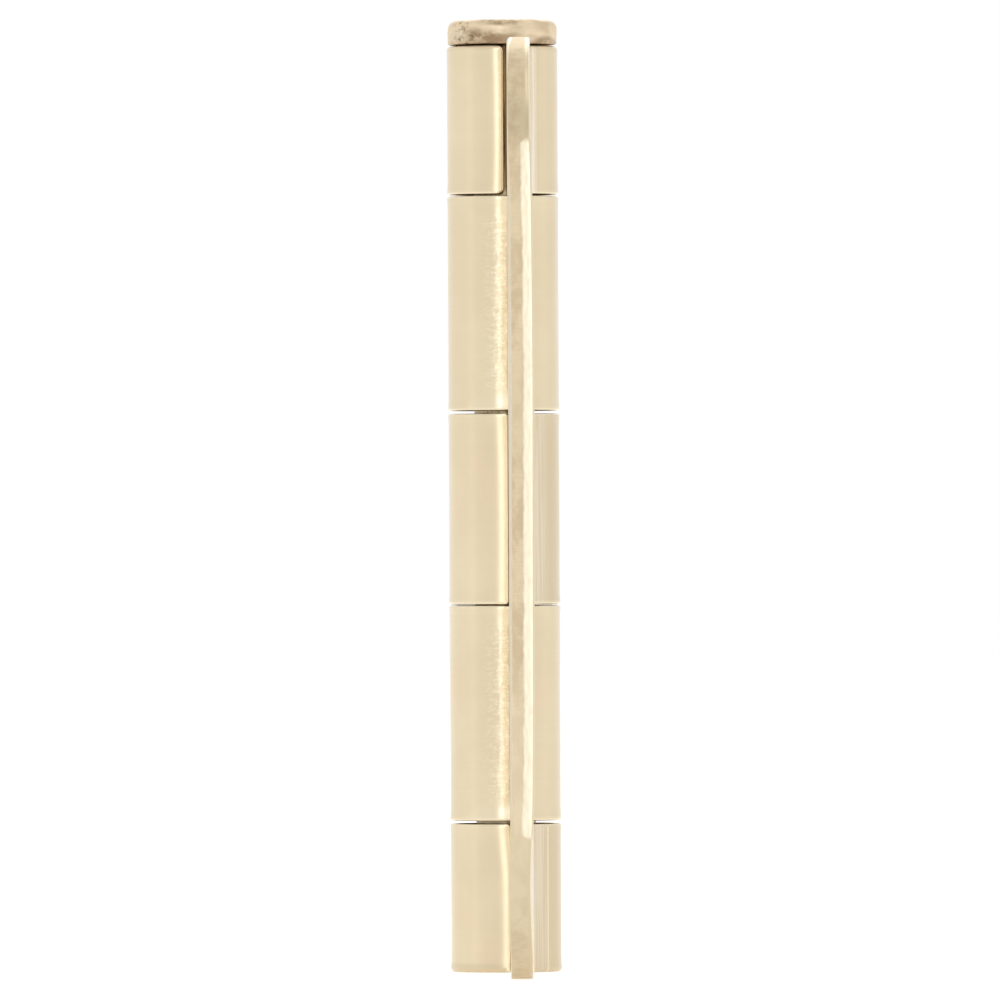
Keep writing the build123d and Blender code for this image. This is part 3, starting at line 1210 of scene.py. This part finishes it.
        # edge carries the painted highlight of the rounded edges and the press lines' crests
        values = {
            "inner_way": inner_way, "outer_way": outer_way, "depth": depth, "rub": rub, "painted_glint": painted_glint,
            "root": root, "pressed": pressed, "edge": np.maximum(table[:, 3], ridge), "shear": table[:, 4],
            "trim": table[:, 7], "blank_u": table[:, 1], "blank_v": table[:, 0], "rim_u": table[:, 5],
            "rim_v": table[:, 6],
        }
        for key, numbers in values.items():
            mesh.attributes.new(key, "FLOAT", "POINT").data.foreach_set("value", numbers.astype(np.float32))
        mesh.attributes.new("curl", "INT", "POINT").data.foreach_set("value", curl.astype(np.int32))
        mesh.attributes.new("zone", "INT", "FACE").data.foreach_set("value", np.array(self.zones, np.int32))
        return carried(name, mesh)


def unit_rows(vectors: np.ndarray) -> np.ndarray:
    """The same directions, each with a length of one."""
    return vectors / np.linalg.norm(vectors, axis=1)[:, None]


def numbers(mesh: bpy.types.Mesh, name: str, kind: type = np.float32) -> np.ndarray:
    """The values of one of a mesh's attributes."""
    layer = mesh.attributes[name]
    values = np.empty(len(layer.data), kind)
    layer.data.foreach_get("value", values)
    return values


def lay_brushing(mesh: bpy.types.Mesh) -> None:
    """Writes the UV map that the brushing follows: up the hinge, and along the blank or round its rim."""
    corners = np.empty(len(mesh.loops), np.int32)
    mesh.loops.foreach_get("vertex_index", corners)
    sizes = np.empty(len(mesh.polygons), np.int32)
    mesh.polygons.foreach_get("loop_total", sizes)
    zone = np.repeat(numbers(mesh, "zone", np.int32), sizes)
    on_rim = zone == Zone.PUNCHED.value
    u = np.where(on_rim, numbers(mesh, "rim_u")[corners], numbers(mesh, "blank_u")[corners])
    v = np.where(on_rim, numbers(mesh, "rim_v")[corners], numbers(mesh, "blank_v")[corners])
    starts = np.concatenate([[0], np.cumsum(sizes)[:-1]])
    whole = u[on_rim].max()
    highest = np.repeat(np.maximum.reduceat(u, starts), sizes)
    u = np.where(on_rim & (highest - u > whole / 2), u + whole, u)
    layer = mesh.uv_layers.new(name=BRUSHING)
    spread = np.column_stack([u, v]) * 0.01  # one unit of the map is 100 mm
    layer.data.foreach_set("uv", spread.astype(np.float32).ravel())


@dataclass
class Leaf:
    """One leaf of the hinge: plate, knuckles and countersunk screw holes in one piece of metal."""

    name: str
    node: str
    body: str
    side: Side
    knuckles: tuple[Knuckle, ...]
    seed: float
    lift: float = 0.0
    # whether the leaf has the rub and the painted glint
    rubbed: bool = False
    bow: tuple[tuple[float, float], ...] = ((0, 0), (50.8, 0.09), (101.6, 0))
    holes: ScrewHoles = field(default_factory=ScrewHoles)

    def build(self, tree: CurlTree, finishes: dict[str, bpy.types.Material]) -> bpy.types.Object:
        """Cuts the blank, curls it and dresses it.

        Args:
            tree: the tree that curls the knuckles.
            finishes: a material for each zone of the surface.

        Returns:
            The finished leaf.
        """
        blank = Blank(self.knuckles, self.holes, self.seed, self.bow).build(f"{self.name}_blank")
        inner = curve_object("inner_paths", [np.vstack(knuckle.inner_parts()) for knuckle in self.knuckles])
        outer = curve_object("outer_paths", [np.vstack(knuckle.outer_parts()) for knuckle in self.knuckles])
        seat = lathe_profile("seat_profile", self.holes.profile())
        spots = bpy.data.meshes.new("hole_centres")
        spots.from_pydata([(x * MM, PLATE.front * MM, z * MM) for x, z in self.holes.centres()], [], [])
        centres = carried("hole_centres", spots)
        mesh = tree.run(
            blank, Inner_Paths=inner, Outer_Paths=outer, Hole_Centres=centres, Seat_Profile=seat,
            Seat_Steps=self.holes.steps, **{name.title(): material for name, material in finishes.items()},
        )
        for helper in (inner, outer, seat, centres):
            bpy.data.objects.remove(helper)
        # only the far leaf keeps the rub and the painted glint
        if not self.rubbed:
            for mark in ("rub", "painted_glint"):
                mesh.attributes[mark].data.foreach_set("value", np.zeros(len(mesh.vertices), np.float32))
        lay_brushing(mesh)
        if self.side is Side.DOOR:
            mesh.transform(Matrix.Diagonal((-1, 1, 1, 1)))
        mesh.transform(Matrix.Translation((0, 0, self.lift * MM)))
        piece = finished(self.name, mesh)
        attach(piece, self.body)
        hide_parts(self.node)
        return piece


@dataclass
class Pin:
    """The loose pin: a tarnished button head, ridges below it, a plain shaft and a bevelled foot."""

    seat: float = 101.65
    head_height: float = 2.85
    head_radius: float = 6.085
    lean: float = 0.042
    shaft: float = 3.27
    foot: float = 1.0
    bevel: float = 0.7
    ridges: int = 30
    ridge_height: float = 0.05
    ridge_foot: float = 86.5
    ridge_top: float = 96.5
    dent_depth: float = 0.28
    dent_scale: float = 420.0
    steps: int = 180
    seed: float = 4.0

    def profile(self) -> list[tuple[float, float]]:
        """Radius and height down the pin, from the middle of the head to the middle of the foot."""
        top, rim, shaft = self.seat + self.head_height, self.head_radius, self.shaft
        shoulder = arc(1.05, math.pi / 2, math.radians(8), (rim - 1.07, top - 1.05))[::6]
        cheek = [(rim - 0.01, top - 1.2), (rim, top - 1.45), (rim - 0.02, top - 1.75)]
        under = arc(0.36, math.radians(-10), -math.pi / 2, (rim - 0.42, self.seat + 0.36))[::8]
        rows = [(radius, top) for radius in (0, 1.2, 2.4, 3.4, 4.2, 4.7)]
        rows += [tuple(point) for point in (*shoulder, *cheek, *under)]
        rows += [(radius, self.seat) for radius in (5.2, 4.4, shaft + 0.15)]
        tip = self.foot + 2 * self.bevel
        ridged = np.linspace(self.ridge_top, self.ridge_foot, 17)
        plain = np.linspace(self.ridge_foot, tip, 20)[1:-1]
        rows += [(shaft, height) for height in (self.seat - 0.15, 99.0, *ridged, *plain, tip + 0.1)]
        rows += [(shaft - 0.03, tip - 0.08), (shaft - self.bevel + 0.05, self.foot + 0.12)]
        rows += [(shaft - self.bevel - 0.1, self.foot), (1.2, self.foot), (0, self.foot)]
        return rows

    def build(self, tree: PinTree, shaft: bpy.types.Material, head: bpy.types.Material) -> bpy.types.Object:
        """Turns and dresses the pin.

        Args:
            tree: the tree that turns it.
            shaft: the shaft's material.
            head: the head's material.

        Returns:
            The finished pin.
        """
        profile = lathe_profile("pin_profile", self.profile())
        mesh = tree.run(
            profile, Steps=self.steps, Ridges=self.ridges, Ridge_Height=self.ridge_height * MM,
            Ridge_Foot=self.ridge_foot * MM, Ridge_Top=self.ridge_top * MM,
            Head_Foot=(self.seat - 0.05) * MM, Dent_Depth=self.dent_depth * MM,
            Dent_Scale=self.dent_scale, Seed=self.seed, Shaft=shaft, Head=head,
        )
        mesh.transform(Matrix.Translation((0, self.lean * MM, 0)))
        piece = finished("pin", mesh)
        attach(piece, "pin")
        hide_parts("hinge_pin")
        return piece


@dataclass(frozen=True)
class Lamp:
    """A soft rectangular lamp.

    Its azimuth counts in degrees from the camera's side, its elevation in degrees above the floor.
    Distance and size are in metres, and a level of 1 is white.
    """

    name: str
    azimuth: float
    elevation: float
    distance: float
    size: tuple[float, float]
    level: float

    def hang(self) -> None:
        """Hangs the lamp so that it faces the hinge's middle."""
        data = bpy.data.lights.new(self.name, "AREA")
        data.shape = "RECTANGLE"
        data.size, data.size_y = self.size
        data.energy = self.level * math.pi * self.size[0] * self.size[1]
        lamp = carried(self.name, data)
        turn, rise = math.radians(self.azimuth), math.radians(self.elevation)
        way = Vector((math.cos(turn) * math.cos(rise), math.sin(turn) * math.cos(rise), math.sin(rise)))
        lamp.location = way * self.distance + Vector((0, 0, 0.05))
        lamp.rotation_euler = way.to_track_quat("Z", "Y").to_euler()
        lamp.visible_camera = False


@dataclass
class Studio:
    """The white floor and room, the soft lamps and the camera."""

    camera_place: Place = (1.93, -0.000464, 0.0448)
    aim: Place = (0.0, -0.000464, 0.05178)
    lens: float = 632.5
    sensor: float = 36
    roll: float = math.radians(-0.29)
    ceiling: float = 0.86
    ambient: float = 0.6
    floor_side: float = 6.0
    floor_colour: Colour = (0.9, 0.9, 0.9)
    floor_glow: float = 0.55
    mirror_dimming: float = 0.07
    lamps: tuple[Lamp, ...] = (
        Lamp("front_panel", -9, 16, 2.3, (0.38, 1.5), 1.75),
        Lamp("left_panel", -72, 12, 2.0, (0.5, 1.2), 0.09),
        Lamp("right_panel", 96, 12, 2.0, (0.9, 1.2), 0.04),
        Lamp("back_panel", 178, 36, 2.2, (0.8, 1.5), 1.2),
        Lamp("top_panel", 30, 80, 1.8, (1.0, 1.0), 0.5),
    )

    def camera(self) -> None:
        """Sets the camera a little below the middle of the hinge, looking at the near leaf's outer edge."""
        made = carried("camera", bpy.data.cameras.new("camera"))
        made.data.lens = self.lens
        made.data.sensor_width = self.sensor
        made.data.clip_end = 50
        back = Vector(self.camera_place) - Vector(self.aim)
        level = back.to_track_quat("Z", "Y").to_matrix()
        made.rotation_euler = (level @ Matrix.Rotation(self.roll, 3, "Z")).to_euler()
        made.location = self.camera_place
        bpy.context.scene.camera = made

    def shown(self, board: Board) -> Socket:
        """One for camera, mirror and see-through rays, which show the white ground; nought for others."""
        path = board.add("ShaderNodeLightPath").outputs
        seen = board.most(path["Is Camera Ray"], path["Is Glossy Ray"])
        return board.most(seen, path["Is Transmission Ray"])

    def world(self) -> None:
        """A white room, greyer in reflections on its ceiling, ahead and to the right."""
        world = bpy.data.worlds.new("room")
        bpy.context.scene.world = world
        world.use_nodes = True
        world.node_tree.nodes.clear()
        board = Board(world.node_tree)
        x, y, z = board.apart(board.add("ShaderNodeTexCoord").outputs["Generated"]).outputs
        overhead = board.fade(z, 0.50, 0.76, 0, self.ceiling - 1)
        overhead = board.times(overhead, board.fade(x, -0.45, 0.1))
        room = board.times(board.plus(overhead, 1.0), board.fade(x, 0.10, 0.95, 1, 0.87))
        room = board.times(room, board.fade(y, 0.15, 0.8, 1, 0.945))
        room = board.times(room, board.fade(x, -0.1, -0.6, 1, 0.95))
        mirror = board.add("ShaderNodeLightPath").outputs["Is Glossy Ray"]
        room = board.plus(1.0, board.times(mirror, board.minus(room, 1.0)))
        added = board.times(self.shown(board), board.minus(room, self.ambient))
        level = board.plus(self.ambient, added)
        ground = board.add("ShaderNodeBackground", {"Color": (1, 1, 1, 1), "Strength": level})
        board.add("ShaderNodeOutputWorld", {"Surface": ground.outputs[0]})

    def floor(self) -> None:
        """A white floor that keeps the hinge's shadow."""
        mesh = bpy.data.meshes.new("floor")
        side = self.floor_side
        corners = [(side * x, side * y, 0) for x, y in ((-1, -1), (1, -1), (1, 1), (-1, 1))]
        mesh.from_pydata(corners, [], [(0, 1, 2, 3)])
        material = bpy.data.materials.new("white_floor")
        material.use_nodes = True
        material.node_tree.nodes.clear()
        board = Board(material.node_tree)
        matt = board.add("ShaderNodeBsdfDiffuse", {"Color": (*self.floor_colour, 1)}).outputs[0]
        glow = board.times(self.shown(board), self.floor_glow)
        mirror = board.add("ShaderNodeLightPath").outputs["Is Glossy Ray"]
        glow = board.minus(glow, board.times(mirror, self.mirror_dimming))
        light = board.add("ShaderNodeEmission", {"Color": (1, 1, 1, 1), "Strength": glow}).outputs[0]
        both = board.add("ShaderNodeAddShader", {0: matt, 1: light}).outputs[0]
        board.add("ShaderNodeOutputMaterial", {"Surface": both})
        mesh.materials.append(material)
        carried("floor", mesh)

    def build(self) -> None:
        """Sets up everything round the hinge."""
        bpy.context.scene.view_settings.view_transform = "Standard"
        self.camera()
        self.world()
        self.floor()
        for lamp in self.lamps:
            lamp.hang()


def near_leaf() -> Leaf:
    """The leaf whose outer edge faces the camera, with knuckles 1, 3 and 5."""
    knuckles = (
        Knuckle(
            0, 16.23, 0.02, 4.63, tip_edge=0.05, end_edges=(0.45, 0.22), crown=(0, 0.07), spring=0.24,
            spring_reach=4.5, lines=((0.06, 1.0), (0.95, 0.4)), streaks=0.35, dulled=1.0, dull_foot=0.7,
        ),
        Knuckle(
            40.38, 61.23, 0.04, 4.7, tip_edge=0.06, crown=(0.09, 0.02), spring=0.09, spring_reach=4.0,
            lines=((0.06, 0.1),), streaks=0.4, dulled=1.0,
        ),
        Knuckle(
            85.31, 101.6, 0.33, 3.7, tip_round=0.6, tip_edge=0.25, end_edges=(0.22, 0.5), crown=(0.03, 0),
            tuck=0.08, lines=((0.06, 0.6), (0.42, 1.3)), streaks=1.0, dulled=0.3,
        ),
    )
    bow = (
        (0, -0.27), (10, -0.25), (14, -0.14), (19, 0.06), (23, 0.12), (30, 0.18), (37, 0.20), (52, 0.24),
        (65, 0.30), (74, 0.27), (83, 0.19), (88, 0.10), (94, 0.02), (98, -0.06), (101.6, -0.11),
    )
    return Leaf("jamb_side_leaf", "jamb_leaf", "jamb", Side.JAMB, knuckles, seed=11.0, bow=bow)


def far_leaf() -> Leaf:
    """The leaf behind the barrel, with knuckles 2 and 4, which show where the near one rubbed them, with
    painted highlight in the rub and low on each knuckle.
    """
    knuckles = (
        Knuckle(16.59, 40.10, 0.23, 4.2, crown=(0.07, 0.09), flat=1.0),
        Knuckle(61.54, 85.04, 0.23, 4.2, crown=(0.02, 0.03), flat=1.0),
    )
    rest = {"seed": 47.0, "lift": 0.05, "rubbed": True}
    return Leaf("door_side_leaf", "door_leaf", "door", Side.DOOR, knuckles, **rest)


def main() -> None:
    """Builds the hinge and its surroundings in order."""
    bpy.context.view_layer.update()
    Studio().build()
    LOG.info("studio: camera, room, floor and lamps")

    finishes = {
        "satin": SatinBrass("brushed_brass", (0.805, 0.690, 0.480), 0.31).material(),
        "punched": PunchedEdge("punched_edge", (0.73, 0.605, 0.415), 0.48).material(),
        # the bore's dark brown is partly painted shade
        "bore": ShadedBore("bore_painted_shade", (0.42, 0.27, 0.12), 0.5).material(),
        "seat": TurnedMetal("turned_seat", (0.78, 0.66, 0.45), 0.34).material(),
    }
    tree = CurlTree()
    for leaf in (near_leaf(), far_leaf()):
        piece = leaf.build(tree, finishes)
        LOG.info("%s: %d faces", piece.name, len(piece.data.polygons))

    groove, oil = (0.66, 0.52, 0.31), (0.38, 0.24, 0.10)
    shaft = TurnedMetal("oiled_shaft", (0.95, 0.83, 0.59), 0.38, groove, oil).material()
    head = TarnishedHead("tarnished_head", (0.86, 0.715, 0.50), 0.45).material()
    pin = Pin().build(PinTree(), shaft, head)
    LOG.info("%s: %d faces", pin.name, len(pin.data.polygons))


if __name__ == "__main__":
    logging.basicConfig(level=logging.INFO, format="%(name)s: %(message)s")
    main()
